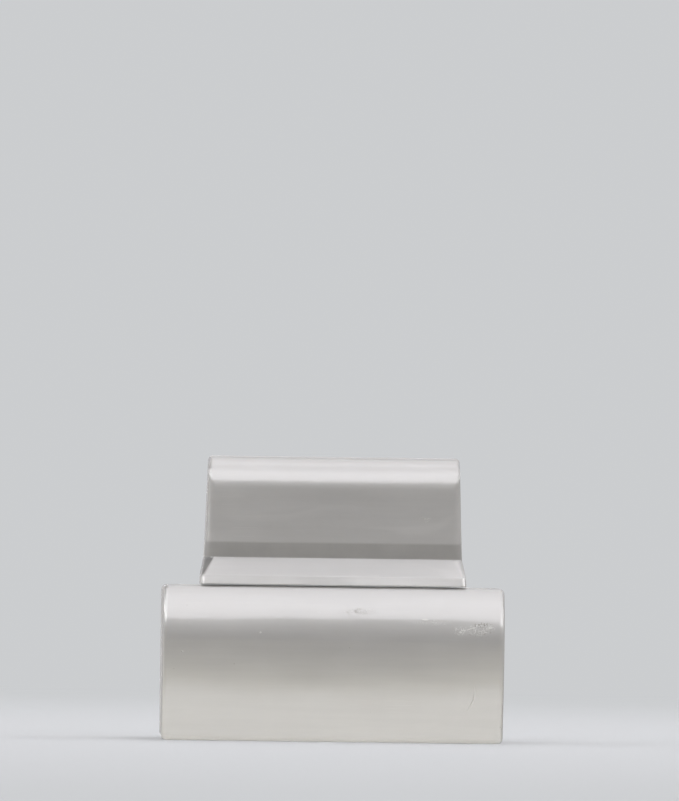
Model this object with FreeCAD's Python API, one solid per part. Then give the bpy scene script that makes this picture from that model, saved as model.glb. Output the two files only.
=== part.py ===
import FreeCAD, Part
import math
import os

# Two-part magnetic glass cleaner, closed up pad to pad as it is stored.
# X runs along the blocks, Y across them, Z along the magnet axis. The origin is
# the middle of the flat outer face of the floating (wet) half, which is the
# bottom of the object. The handle (dry) half stands above it.
# Millimetres. An "outline" is a rounded rectangle centred on the Z axis, given
# as (half length in X, half depth in Y, corner radius).

V = FreeCAD.Vector

# --- both halves -------------------------------------------------------------
PLATE_T = 2.4            # closing plates
PLATE_GAP = 0.04         # all round, between a plate and its casing
BEAD_W = 0.9             # weld bead across the joint
BEAD_D = 0.5             # weld bead depth
FILM_INSET = 0.6         # adhesive film edge to pad edge
OVERCUT = 1.0            # cutting tools reach this far past a face

# --- floating half: casing ---------------------------------------------------
FLOAT_HX = 41.0          # half length
FLOAT_HY = 21.0          # half depth at the widest line
FLOAT_H = 37.2           # outer face to glass-side face
FLOAT_WALL = 2.2
BULGE_Z = 24.2           # height of the widest line
SHOULDER_R = 19.0        # big shoulder above the widest line
LOWER_ARC_Z = 9.5        # the side is flat below this height
LOWER_TILT = 14.0        # degrees, inward lean of the flat lower side
SHOULDER_EDGE_R = 2.4    # blend between the shoulder and the glass-side face
FOOT_EDGE_R = 1.5        # blend along the outer face
FLOAT_END_R = 1.35       # blend round both end faces

# --- floating half: closing plate and scrubbing pad --------------------------
FLOAT_OPENING = (37.2, 13.6, 2.4)
FLOAT_PLATE_Z = FLOAT_H - PLATE_T    # inner side of the closing plate
LEDGE_W = 1.5            # width of the seat the plate rests on
LEDGE_T = 1.6
LEDGE_R = 1.4            # corner radius inside the seat
LEDGE_BLANK_GROW = 6.0   # the uncut ledge reaches beyond the cavity
LEDGE_BLANK_R = 3.0
SCRUB_PAD = (29.6, 11.6, 3.0)
POCKET_D = 1.5           # depth of the pad pocket in the plate
POCKET_GAP = 0.25        # all round, between the pad and its pocket wall
GLUE_T = 0.2             # adhesive film under the scrubbing pad
BACKING_T = 0.5          # woven backing of the scrubbing pad
HOOKS_INSET = 0.3        # hook pile edge to backing edge
HOOKS_PROUD = 0.12       # the hook pile stands this far out of the pocket
POCKET_Z = FLOAT_H - POCKET_D
BACKING_Z = POCKET_Z + GLUE_T
HOOKS_Z = BACKING_Z + BACKING_T
HOOKS_TIP_Z = FLOAT_H + HOOKS_PROUD

# --- handle half: casing -----------------------------------------------------
HALVES_GAP = 0.25        # floating half's face to the handle's rim lip
RIM_T = 2.15             # height of the near-vertical rim
RAMP_T = 4.27            # height of the flared ramp
GRIP_T = 3.78            # undercut strip just above the ramp
HANDLE_H = 30.93
HANDLE_WALL = 2.0
LIP_Z = FLOAT_H + HALVES_GAP
RIM_TOP_Z = LIP_Z + RIM_T
CREASE_Z = RIM_TOP_Z + RAMP_T
WAIST_Z = CREASE_Z + GRIP_T
CROWN_Z = LIP_Z + HANDLE_H
RIM = (31.85, 16.02, 0.9)
RIM_TOP = (31.72, 15.45, 0.9)
CREASE = (31.00, 10.85, 2.6)
WAIST = (30.82, 11.15, 2.5)
CROWN = (30.12, 10.55, 1.3)
TOP_SIDE_R = 8.1         # big rounding along both long top edges
TOP_END_R = 1.0          # small rounding over the ends

# --- handle half: lip, closing plate and felt --------------------------------
LIP_H = 0.55             # the lip stands this far below the pad face
LIP_W = 0.85
FACE_Z = LIP_Z + LIP_H   # flat face inside the lip, where the felt is stuck
HANDLE_OPENING = (28.7, 13.2, 2.0)
HANDLE_PLATE_Z = FACE_Z + PLATE_T    # inner side of the closing plate
FELT_GAP = 0.1           # felt edge to lip
FELT_FILM_T = 0.1
REST_CLR = 0.04          # hook tips to felt

# --- magnet packs, stacked inward from each closing plate --------------------
MAGNET_RIB = 3.0         # frame rib between the two magnets
MAGNET_BEVEL = 0.4
MAGNET_GAP = 0.1         # closing plate to magnets
MAGNET_CLR = 0.1         # magnet to frame pocket wall
FRAME_GAP = 0.02         # closing plate to frame
FRAME_SHORT = 0.2        # the frame ends this far short of the magnets
LAYER_GAP = 0.05         # magnets to keeper, keeper to potting
KEEPER_T = 1.5
KEEPER_MARGIN = 0.1      # keeper beyond the magnets on each long side

FLOAT_MAGNET = (32.0, 22.4, 6.0)     # length, width, thickness
FLOAT_FRAME = (35.6, 12.0, 1.4)
FLOAT_KEEPER = (34.0, FLOAT_MAGNET[1] / 2 + KEEPER_MARGIN, 1.2)
FLOAT_POTTING = (35.2, 11.9, 1.6)
FLOAT_POTTING_T = 2.0

HANDLE_MAGNET = (25.0, 15.6, 9.0)
HANDLE_FRAME = (27.5, 8.6, 1.2)
HANDLE_KEEPER = (26.8, HANDLE_MAGNET[1] / 2 + KEEPER_MARGIN, 1.0)
HANDLE_POTTING = (27.4, 8.5, 1.2)
HANDLE_POTTING_T = 2.2

# --- handle half: inner space ------------------------------------------------
BASE_INSET_X = 0.9       # inner space inside the plate opening, at its base
BASE_INSET_Y = 1.2
BASE_DROP = 0.5          # it starts this far below the plate's inner side
THROAT_RISE = 1.2        # and narrows to the frame over this height
FRAME_ROOM_Y = 1.2       # wall to magnet frame
CREASE_WALL_X = 2.4
CREASE_WALL_Y = 1.9
INNER_R = 1.6
INNER_CROWN_R = 0.9


# --- helpers -----------------------------------------------------------------
def arc(start, middle, end):
    return Part.Arc(start, middle, end).toShape()


def offset(outline, distance, radius=None):
    """Outline grown by distance; the radius grows too unless one is given."""
    hx, hy, r = outline
    if radius is None:
        radius = r + distance
    return (hx + distance, hy + distance, radius)


def rounded_wire(outline, z):
    """Closed wire of an outline; lofts rely on every wire starting alike."""
    hx, hy, r = outline
    k = r * (1.0 - math.sqrt(0.5))   # arc middle to the square corner, per axis
    p = [V(hx - r, -hy, z), V(hx, -hy + r, z), V(hx, hy - r, z), V(hx - r, hy, z),
         V(-hx + r, hy, z), V(-hx, hy - r, z), V(-hx, -hy + r, z), V(-hx + r, -hy, z)]
    middles = [V(hx - k, -hy + k, z), V(hx - k, hy - k, z),
               V(-hx + k, hy - k, z), V(-hx + k, -hy + k, z)]
    edges = []
    for i, middle in enumerate(middles):
        start, end, following = p[2 * i], p[2 * i + 1], p[(2 * i + 2) % 8]
        edges += [arc(start, middle, end), Part.makeLine(end, following)]
    return Part.Wire(edges)


def plate(outline, z_a, z_b):
    """Flat plate between two heights, given in either order."""
    bottom, top = sorted((z_a, z_b))
    return Part.Face(rounded_wire(outline, bottom)).extrude(V(0, 0, top - bottom))


def weld_bead(outline, z0, z1):
    """Ring centred on the outline of the joint."""
    outside = plate(offset(outline, BEAD_W / 2), z0, z1)
    return outside.cut(plate(offset(outline, -BEAD_W / 2), z0 - 0.01, z1 + 0.01))


def tapered(sections):
    """Straight-sided solid through (z, outline) sections."""
    solid = None
    for (z0, lower), (z1, upper) in zip(sections[:-1], sections[1:]):
        wires = [rounded_wire(lower, z0), rounded_wire(upper, z1)]
        segment = Part.makeLoft(wires, True, True)
        solid = segment if solid is None else solid.fuse(segment)
    return solid


def one_solid(shape):
    if shape.ShapeType == "Solid":
        return shape
    assert len(shape.Solids) == 1, "expected one solid, got %d" % len(shape.Solids)
    return shape.Solids[0]


# --- magnet packs ------------------------------------------------------------
def magnet_box(size, side, z_a, z_b, clearance=0.0):
    """Box for the magnet on the +X (side 1) or -X (side -1) side of the rib."""
    length, width, _ = size
    x0, x1 = sorted((side * (MAGNET_RIB / 2 - clearance),
                     side * (MAGNET_RIB / 2 + length + clearance)))
    y1 = width / 2 + clearance
    z0, z1 = sorted((z_a, z_b))
    return Part.makeBox(x1 - x0, 2 * y1, z1 - z0, V(x0, -y1, z0))


def magnet(size, side, z_a, z_b):
    box = magnet_box(size, side, z_a, z_b)
    return box.makeChamfer(MAGNET_BEVEL, box.Edges)


def magnet_frame(outline, size, z_a, z_b):
    """Plate with a through pocket for each magnet."""
    z0, z1 = sorted((z_a, z_b))
    frame = plate(outline, z0, z1)
    for side in (1, -1):
        frame = frame.cut(magnet_box(size, side, z0 - OVERCUT, z1 + OVERCUT, MAGNET_CLR))
    return frame


def magnet_pack(half, plate_z, inward, size, frame, keeper, potting, potting_t):
    """Pieces stacked from the closing plate; inward is 1 for up, -1 for down."""
    near = plate_z + inward * MAGNET_GAP
    far = near + inward * size[2]
    keeper_z = far + inward * LAYER_GAP
    keeper_end = keeper_z + inward * KEEPER_T
    potting_z = keeper_end + inward * LAYER_GAP
    return {
        half + "_magnet_left": magnet(size, -1, near, far),
        half + "_magnet_right": magnet(size, 1, near, far),
        half + "_magnet_frame": magnet_frame(frame, size, plate_z + inward * FRAME_GAP,
                                             far - inward * FRAME_SHORT),
        half + "_keeper_plate": plate(keeper, keeper_z, keeper_end),
        half + "_potting": plate(potting, potting_z, potting_z + inward * potting_t),
    }


# --- floating half -----------------------------------------------------------
def float_outline():
    """Casing section in the YZ plane, with its top and foot corners at +Y.

    The side leans out from the outer face, turns upright at the widest line
    and rolls over the shoulder to the glass side.
    """
    tilt = math.radians(LOWER_TILT)
    lower_r = (BULGE_Z - LOWER_ARC_Z) / math.sin(tilt)
    shoulder_angle = math.asin((FLOAT_H - BULGE_Z) / SHOULDER_R)

    def on_side(radius, angle):
        """Point on an arc that is upright at the widest line."""
        return V(0, FLOAT_HY - radius + radius * math.cos(angle),
                 BULGE_Z + radius * math.sin(angle))

    def mirrored(point):
        return V(point.x, -point.y, point.z)

    flat_end = V(0, on_side(lower_r, -tilt).y, LOWER_ARC_Z)
    foot = V(0, flat_end.y - LOWER_ARC_Z * math.tan(tilt), 0)
    lower_middle = on_side(lower_r, -tilt / 2)
    widest = V(0, FLOAT_HY, BULGE_Z)
    shoulder_middle = on_side(SHOULDER_R, shoulder_angle / 2)
    top = V(0, on_side(SHOULDER_R, shoulder_angle).y, FLOAT_H)
    wire = Part.Wire([
        Part.makeLine(mirrored(foot), foot),
        Part.makeLine(foot, flat_end),
        arc(flat_end, lower_middle, widest),
        arc(widest, shoulder_middle, top),
        Part.makeLine(top, mirrored(top)),
        arc(mirrored(top), mirrored(shoulder_middle), mirrored(widest)),
        arc(mirrored(widest), mirrored(lower_middle), mirrored(flat_end)),
        Part.makeLine(mirrored(flat_end), mirrored(foot)),
    ])
    return wire, top, foot


def extrude_along_x(wire, half_length):
    solid = Part.Face(wire).extrude(V(2 * half_length, 0, 0))
    solid.translate(V(-half_length, 0, 0))
    return solid


def long_edges(solid, corner, tolerance=0.05):
    """Edges along X through a section corner and its mirror image."""
    found = []
    for edge in solid.Edges:
        box = edge.BoundBox
        if (box.XLength > 10 and abs(abs(box.Center.y) - corner.y) < tolerance
                and abs(box.Center.z - corner.z) < tolerance):
            found.append(edge)
    return found


def end_edges(solid, half_length, tolerance=1e-4):
    """Edges lying in the two end faces."""
    return [edge for edge in solid.Edges
            if edge.BoundBox.XLength < tolerance
            and abs(abs(edge.BoundBox.Center.x) - half_length) < tolerance]


def float_outer():
    wire, top, foot = float_outline()
    solid = extrude_along_x(wire, FLOAT_HX)
    solid = solid.makeFillet(SHOULDER_EDGE_R, long_edges(solid, top))
    solid = solid.makeFillet(FOOT_EDGE_R, long_edges(solid, foot))
    return solid.makeFillet(FLOAT_END_R, end_edges(solid, FLOAT_HX))


def float_cavity():
    """Inner air space: the section pulled in by the wall on every side."""
    wire = float_outline()[0]
    return extrude_along_x(wire.makeOffset2D(-FLOAT_WALL), FLOAT_HX - FLOAT_WALL)


def float_ledge(cavity):
    """Moulded seat for the closing plate, filling the cavity round the opening."""
    ledge_z = FLOAT_PLATE_Z - LEDGE_T
    blank = plate(offset(FLOAT_OPENING, LEDGE_BLANK_GROW, LEDGE_BLANK_R),
                  ledge_z, FLOAT_H + OVERCUT)
    hole = plate(offset(FLOAT_OPENING, -LEDGE_W, LEDGE_R),
                 ledge_z - OVERCUT, FLOAT_H + 2 * OVERCUT)
    return blank.common(cavity).cut(hole)


def float_shell(bead):
    cavity = float_cavity()
    shell = float_outer().cut(cavity).fuse(float_ledge(cavity))
    shell = shell.cut(plate(FLOAT_OPENING, FLOAT_PLATE_Z, FLOAT_H + OVERCUT))
    return shell.cut(bead).removeSplitter()


def float_base_plate(bead):
    """Closing plate with the pad pocket in its glass side."""
    base = plate(offset(FLOAT_OPENING, -PLATE_GAP), FLOAT_PLATE_Z, FLOAT_H)
    base = base.cut(plate(offset(SCRUB_PAD, POCKET_GAP), POCKET_Z, FLOAT_H + OVERCUT))
    return base.cut(bead)


def float_pieces():
    bead = weld_bead(FLOAT_OPENING, FLOAT_H - BEAD_D, FLOAT_H)
    pieces = {
        "float_shell": float_shell(bead),
        "float_base_plate": float_base_plate(bead),
        "float_weld_bead": bead,
        "float_pad_adhesive": plate(offset(SCRUB_PAD, -FILM_INSET), POCKET_Z, BACKING_Z),
        "scrub_pad_backing": plate(SCRUB_PAD, BACKING_Z, HOOKS_Z),
        "scrub_pad_hooks": plate(offset(SCRUB_PAD, -HOOKS_INSET), HOOKS_Z, HOOKS_TIP_Z),
    }
    pieces.update(magnet_pack("float", FLOAT_PLATE_Z, -1, FLOAT_MAGNET, FLOAT_FRAME,
                              FLOAT_KEEPER, FLOAT_POTTING, FLOAT_POTTING_T))
    return pieces


# --- handle half -------------------------------------------------------------
def top_rounding_tool(low, high, radius, side):
    """Everything outside a rounding along X between a leaning side and a flat top.

    The side runs through the (y, z) points low and high; the top is level with
    high. The side at -Y is cut when side is -1.
    """
    reach_x, reach_y, reach_z = 60, 6, 3
    lean = math.atan2(low[0] - high[0], high[1] - low[1])
    side_distance = low[0] * math.cos(lean) + low[1] * math.sin(lean)
    centre_z = high[1] - radius
    centre_y = (side_distance - radius - centre_z * math.sin(lean)) / math.cos(lean)
    tangent_y = centre_y + radius * math.cos(lean)
    tangent_z = centre_z + radius * math.sin(lean)
    middle = math.radians(45) + lean / 2

    def point(y, z):
        return V(-reach_x, side * y, z)

    on_side = point(tangent_y, tangent_z)
    on_arc = point(centre_y + radius * math.cos(middle), centre_z + radius * math.sin(middle))
    on_top = point(centre_y, high[1])
    above = point(centre_y, high[1] + reach_z)
    far_corner = point(tangent_y + reach_y, high[1] + reach_z)
    beside = point(tangent_y + reach_y, tangent_z)
    wire = Part.Wire([arc(on_side, on_arc, on_top),
                      Part.makeLine(on_top, above),
                      Part.makeLine(above, far_corner),
                      Part.makeLine(far_corner, beside),
                      Part.makeLine(beside, on_side)])
    return Part.Face(wire).extrude(V(2 * reach_x, 0, 0))


def round_top(solid, low, high, radius, turn=0):
    """Round both opposite top edges; turn 90 moves the cuts to the X ends."""
    for side in (1, -1):
        tool = top_rounding_tool(low, high, radius, side)
        tool.rotate(V(0, 0, 0), V(0, 0, 1), turn)
        solid = solid.cut(tool)
    return solid


def handle_outer():
    body = tapered([(LIP_Z, RIM), (RIM_TOP_Z, RIM_TOP), (CREASE_Z, CREASE),
                    (WAIST_Z, WAIST), (CROWN_Z, CROWN)])
    body = round_top(body, (WAIST[1], WAIST_Z), (CROWN[1], CROWN_Z), TOP_SIDE_R)
    body = round_top(body, (WAIST[0], WAIST_Z), (CROWN[0], CROWN_Z), TOP_END_R, turn=90)
    return body.removeSplitter()


def handle_cavity():
    """Inner space: near-straight walls in the grip, wider at the very base."""
    base_hx = HANDLE_OPENING[0] - BASE_INSET_X
    waist = offset(WAIST, -HANDLE_WALL, INNER_R)
    crown = offset(CROWN, -HANDLE_WALL, INNER_CROWN_R)
    crown_z = CROWN_Z - HANDLE_WALL
    cavity = tapered([
        (HANDLE_PLATE_Z - BASE_DROP, (base_hx, HANDLE_OPENING[1] - BASE_INSET_Y, INNER_R)),
        (HANDLE_PLATE_Z + THROAT_RISE, (base_hx, HANDLE_FRAME[1] + FRAME_ROOM_Y, INNER_R)),
        (CREASE_Z, (CREASE[0] - CREASE_WALL_X, CREASE[1] - CREASE_WALL_Y, INNER_R)),
        (WAIST_Z, waist),
        (crown_z, crown),
    ])
    return round_top(cavity, (waist[1], WAIST_Z), (crown[1], crown_z),
                     TOP_SIDE_R - HANDLE_WALL)


def handle_shell(bead, inside_lip):
    shell = handle_outer().cut(handle_cavity())
    shell = shell.cut(plate(HANDLE_OPENING, LIP_Z - OVERCUT, HANDLE_PLATE_Z))
    shell = shell.cut(plate(inside_lip, LIP_Z - OVERCUT, FACE_Z))
    return shell.cut(bead)


def handle_base_plate(bead):
    return plate(offset(HANDLE_OPENING, -PLATE_GAP), FACE_Z, HANDLE_PLATE_Z).cut(bead)


def handle_pieces():
    """The felt is one sheet over the whole face inside the lip, plate and bead."""
    bead = weld_bead(HANDLE_OPENING, FACE_Z, FACE_Z + BEAD_D)
    inside_lip = offset(RIM, -LIP_W, RIM[2])
    felt = offset(inside_lip, -FELT_GAP, RIM[2])
    film = offset(felt, -FILM_INSET, RIM[2])
    film_z = FACE_Z - FELT_FILM_T
    pieces = {
        "handle_shell": handle_shell(bead, inside_lip),
        "handle_base_plate": handle_base_plate(bead),
        "handle_weld_bead": bead,
        "handle_pad_adhesive": plate(film, film_z, FACE_Z),
        "felt_pad": plate(felt, HOOKS_TIP_Z + REST_CLR, film_z),
    }
    pieces.update(magnet_pack("handle", HANDLE_PLATE_Z, 1, HANDLE_MAGNET, HANDLE_FRAME,
                              HANDLE_KEEPER, HANDLE_POTTING, HANDLE_POTTING_T))
    return pieces


# --- export: one solid per file ----------------------------------------------
os.makedirs("parts", exist_ok=True)
for name, shape in {**float_pieces(), **handle_pieces()}.items():
    solid = one_solid(shape)
    assert solid.isValid(), name
    solid.exportStep("parts/%s.step" % name)
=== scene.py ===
"""A two-part magnetic scrubber, its parts taken from CAD.

The wet half (the float) stands on z = 0 and carries a pad of nylon hooks on its top. The dry
half (the handle) sits above it with a felt pad underneath. X runs to the right along the
long side, Y runs to the back and Z up, all in metres. The camera looks from the front, -Y.
"""
import bpy
import math
import numpy as np
from functools import cached_property, reduce
from mathutils import Matrix, Vector


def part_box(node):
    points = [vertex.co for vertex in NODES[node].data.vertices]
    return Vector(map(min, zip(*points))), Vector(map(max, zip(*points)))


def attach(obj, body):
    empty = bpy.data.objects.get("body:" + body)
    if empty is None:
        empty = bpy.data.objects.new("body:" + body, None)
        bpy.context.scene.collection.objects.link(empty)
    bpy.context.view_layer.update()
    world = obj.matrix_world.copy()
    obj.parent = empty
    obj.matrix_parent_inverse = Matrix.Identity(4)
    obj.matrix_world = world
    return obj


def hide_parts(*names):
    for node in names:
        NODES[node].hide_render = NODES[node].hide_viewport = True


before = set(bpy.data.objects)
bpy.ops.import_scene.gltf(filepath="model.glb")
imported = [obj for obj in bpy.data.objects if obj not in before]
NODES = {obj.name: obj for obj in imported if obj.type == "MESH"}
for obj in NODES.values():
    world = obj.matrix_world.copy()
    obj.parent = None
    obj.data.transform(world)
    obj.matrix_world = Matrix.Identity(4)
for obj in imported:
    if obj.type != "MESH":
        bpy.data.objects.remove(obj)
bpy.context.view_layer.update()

RNG = np.random.RandomState(4207)

CASING_WHITE = (0.728, 0.712, 0.702)
FLOOR_PAPER = (0.580, 0.592, 0.605)
BACKDROP = (0.600, 0.612, 0.625)


# ---------------------------------------------------------------------------
# shader node helpers
# ---------------------------------------------------------------------------
class Nodes:
    """A node tree; the methods add nodes and return output sockets."""

    def __init__(self, tree):
        self.tree = tree
        tree.nodes.clear()

    def put(self, socket, value):
        """Set a socket to a number or tuple, or link another socket to it."""
        if isinstance(value, (int, float)):
            socket.default_value = value
        elif isinstance(value, tuple):
            fits = len(socket.default_value) == len(value)
            socket.default_value = value if fits else value + (1.0,)
        else:
            self.tree.links.new(value, socket)

    def new(self, kind, inputs=None, **settings):
        node = self.tree.nodes.new("ShaderNode" + kind)
        for name, value in settings.items():
            setattr(node, name, value)
        for key, value in (inputs or {}).items():
            self.put(node.inputs[key], value)
        return node

    def math(self, operation, first, second=0.0):
        return self.new("Math", {0: first, 1: second}, operation=operation).outputs[0]

    def add(self, first, second):
        return self.math("ADD", first, second)

    def sub(self, first, second):
        return self.math("SUBTRACT", first, second)

    def mul(self, first, second):
        return self.math("MULTIPLY", first, second)

    def div(self, first, second):
        return self.math("DIVIDE", first, second)

    def max(self, first, second):
        return self.math("MAXIMUM", first, second)

    def ramp(self, value, span, to=(0.0, 1.0), smooth=True):
        """Carry the value from span to the range in to, held at both ends."""
        inputs = {"Value": value, "From Min": span[0], "From Max": span[1],
                  "To Min": to[0], "To Max": to[1]}
        kind = "SMOOTHSTEP" if smooth else "LINEAR"
        return self.new("MapRange", inputs, interpolation_type=kind).outputs["Result"]

    def tint(self, colour, factor):
        """The colour times a scalar."""
        inputs = {0: colour, "Scale": factor}
        return self.new("VectorMath", inputs, operation="SCALE").outputs[0]

    def split(self, vector):
        return list(self.new("SeparateXYZ", {0: vector}).outputs)


class Mat(Nodes):
    """One procedural material in object coordinates, with a Principled shader."""

    def __init__(self, name):
        self.material = bpy.data.materials.new(name)
        self.material.use_nodes = True
        super().__init__(self.material.node_tree)
        self.out = self.new("OutputMaterial")
        self.bsdf = self.new("BsdfPrincipled")
        self.put(self.out.inputs[0], self.bsdf.outputs[0])
        self.coords = self.new("TexCoord").outputs["Object"]

    @cached_property
    def xyz(self):
        return self.split(self.coords)

    def noise(self, scale, detail=3.0, rough=0.5, dist=0.0, at=None):
        """Noise with scale features per metre, at the object coordinates by default."""
        inputs = {"Vector": at or self.coords, "Scale": scale, "Detail": detail,
                  "Roughness": rough, "Distortion": dist}
        return self.new("TexNoise", inputs).outputs["Fac"]

    def grain(self, scale=(1, 1, 1), turn=(0, 0, 0), shift=(0, 0, 0), size=1.0, **settings):
        """Noise with its own scale per axis, turned and shifted."""
        inputs = {"Vector": self.coords, "Scale": scale, "Rotation": turn, "Location": shift}
        return self.noise(size, at=self.new("Mapping", inputs).outputs[0], **settings)

    def spread(self, noise, low, high):
        """Spread the middle of a noise's range over low to high."""
        return self.ramp(noise, (0.3, 0.7), to=(low, high))

    def voronoi(self, scale, output="Distance"):
        inputs = {"Vector": self.coords, "Scale": scale}
        return self.new("TexVoronoi", inputs).outputs[output]

    def mix(self, fraction, first, second):
        inputs = {0: fraction, 6: first, 7: second}
        return self.new("Mix", inputs, data_type="RGBA").outputs[2]

    def bump(self, height, depth, under=None):
        """Bump the normal by depth metres per unit of height, over the normal under."""
        inputs = {"Height": height, "Strength": 1.0, "Distance": depth}
        if under is not None:
            inputs["Normal"] = under
        return self.new("Bump", inputs).outputs[0]

    def ball(self, centre, radii):
        """1 inside an ellipsoid, fading to 0 at its surface."""
        squares = []
        for axis, middle, radius in zip(self.xyz, centre, radii):
            part = self.div(self.sub(axis, middle), radius)
            squares.append(self.mul(part, part))
        return self.ramp(reduce(self.add, squares), (0.15, 1.0), to=(1.0, 0.0))

    def line(self, offset, core, edge):
        """1 within core of a line, fading to 0 at edge."""
        return self.ramp(self.math("ABSOLUTE", offset), (core, edge), to=(1.0, 0.0))

    def ao(self, distance):
        node = self.new("AmbientOcclusion", {"Distance": distance}, samples=6)
        return node.outputs["AO"]

    def surface(self, colour, rough, normal, others=None):
        """Feed the Principled shader and return the material."""
        inputs = {"Base Color": colour, "Roughness": rough, "Normal": normal}
        for name, value in {**inputs, **(others or {})}.items():
            self.put(self.bsdf.inputs[name], value)
        return self.material


# ---------------------------------------------------------------------------
# casing material: glossy moulded ABS, lightly handled
# ---------------------------------------------------------------------------
# hairline scratches: tilt in degrees, noise threshold, scale along, scale across
HAIRLINES = ((2.0, 0.672, 34, 5200), (-9.0, 0.70, 40, 4600), (63.0, 0.715, 46, 4200))

# scuffed patches on the front of the wet half: centre, radii, strength
WET_PATCHES = (
    ((0.0304, -0.020, 0.0269), (0.0022, 0.006, 0.0013), 1.0),
    ((0.0347, -0.020, 0.0272), (0.0034, 0.006, 0.0017), 0.85),
    ((0.0378, -0.020, 0.0277), (0.0013, 0.006, 0.0008), 1.0),
    ((0.0240, -0.019, 0.0288), (0.0060, 0.006, 0.0009), 0.35),
    ((0.0062, -0.0185, 0.0313), (0.0048, 0.006, 0.0010), 0.55),
)
# a nick through the two main patches
NICK_X, NICK_Z, NICK_SLOPE = 0.0304, 0.0267, 0.30       # a point on it, slope in radians
NICK_REACH = ((0.0322, -0.020, 0.0273), (0.0024, 0.006, 0.0012))
# single chips: centre, radii
CHIPS = (
    ((0.0303, -0.020, 0.02655), (0.00042, 0.006, 0.00034)),
    ((-0.0175, -0.020, 0.0260), (0.00036, 0.006, 0.00030)),
)
FAINT_CHIP = ((0.0219, -0.020, 0.0295), (0.0010, 0.006, 0.00026))
# a thin curved scratch low on the right
ARC_X, ARC_Z, ARC_RADIUS = 0.0274, 0.0125, 0.0066
ARC_REACH = ((0.0334, -0.0195, 0.0106), (0.0026, 0.007, 0.0038))
# dark specks by the patches: centre, radii
SOOT_TOP = ((0.0353, -0.020, 0.0284), (0.0032, 0.007, 0.0008))
SOOT_BELOW = ((0.0352, -0.020, 0.0266), (0.0040, 0.007, 0.0018))
SOOT_MIDDLE = ((0.0070, -0.0185, 0.0313), (0.0050, 0.007, 0.0011))
# the one scuff on the dry half
DRY_PATCH = ((0.0215, -0.0105, 0.0535), (0.0022, 0.004, 0.0008))

# the long walls of the wet half sink between their ends
DENT_HALF_LENGTH, DENT_Z, DENT_HEIGHT = 0.041, 0.0242, 0.0125
# the dry half's finger hold: z spans where it starts and ends
HOLD_START, HOLD_END = (0.04386, 0.04416), (0.04725, 0.04800)
# the left corner of the ramp: its edge line (x = -NOOK_X at NOOK_Z) and its z spans
NOOK_X, NOOK_Z, NOOK_SLOPE = 0.0289, 0.0436, 0.62
NOOK_START, NOOK_END = (0.0390, 0.0402), (0.0438, 0.0442)


def casing_tone(mat, smear_lift):
    """Brightness: clouds, faint flow streaks, blotches and pale smears."""
    cloud = mat.noise(26, rough=0.55)
    streak = mat.grain((22, 60, 330), turn=(0, math.radians(0.7), 0), detail=4, rough=0.6)
    blotch = mat.noise(150, detail=2)
    tone = mat.add(mat.spread(cloud, 0.975, 1.015),
                   mat.ramp(streak, (0.32, 0.7), to=(-0.022, 0.022)))
    tone = mat.add(tone, mat.ramp(blotch, (0.35, 0.7), to=(-0.008, 0.008)))
    smear = mat.grain((26, 40, 95), turn=(0, math.radians(9), 0), shift=(2.3, 0.4, 5.5),
                      detail=2.5, dist=1.4)
    return mat.add(tone, mat.mul(mat.ramp(smear, (0.56, 0.70)), smear_lift))


def hairlines(mat):
    """Hairline scratches in three directions, broken up by a coarse noise."""
    layers = []
    for i, (tilt, threshold, along, across) in enumerate(HAIRLINES):
        lines = mat.grain((along, along, across), turn=(0, math.radians(tilt), 0),
                          shift=(3.1 * i, 1.7 * i, 0.4 * i), detail=1.0, rough=0.4)
        layers.append(mat.ramp(lines, (threshold, threshold + 0.05)))
    patches = mat.ramp(mat.noise(55, detail=2), (0.46, 0.62))
    return mat.mul(reduce(mat.max, layers), patches)


def wet_scuffs(mat):
    """Short scratches and chipped flecks, paler than the plastic around them."""
    x, _, z = mat.xyz
    ticks = mat.max(
        mat.grain((900, 900, 3600), turn=(0, math.radians(35), 0), rough=0.7),
        mat.grain((3200, 900, 900), turn=(0, math.radians(25), 0), shift=(5, 1, 2), rough=0.7))
    grit = mat.noise(3600, rough=0.7)
    flecks = mat.max(mat.ramp(ticks, (0.565, 0.64)), mat.ramp(grit, (0.60, 0.68)))
    marks = [mat.mul(mat.ball(centre, radii), mat.mul(flecks, strength))
             for centre, radii, strength in WET_PATCHES]
    along, above = mat.sub(x, NICK_X), mat.sub(z, NICK_Z)
    offset = mat.sub(mat.mul(above, math.cos(NICK_SLOPE)), mat.mul(along, math.sin(NICK_SLOPE)))
    nick = mat.mul(mat.line(offset, core=0.00005, edge=0.00022), mat.ball(*NICK_REACH))
    marks.append(mat.mul(nick, mat.ramp(grit, (0.42, 0.54))))
    marks += [mat.ball(centre, radii) for centre, radii in CHIPS]
    marks.append(mat.mul(mat.ball(*FAINT_CHIP), 0.8))
    across, above = mat.sub(x, ARC_X), mat.sub(z, ARC_Z)
    radius = mat.math("SQRT", mat.add(mat.mul(across, across), mat.mul(above, above)))
    arc = mat.line(mat.sub(radius, ARC_RADIUS), core=0.00004, edge=0.00018)
    marks.append(mat.mul(arc, mat.ball(*ARC_REACH)))
    return reduce(mat.max, marks)


def dry_scuffs(mat):
    grit = mat.noise(2300, rough=0.7)
    return mat.mul(mat.ball(*DRY_PATCH), mat.ramp(grit, (0.56, 0.64)))


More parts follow.
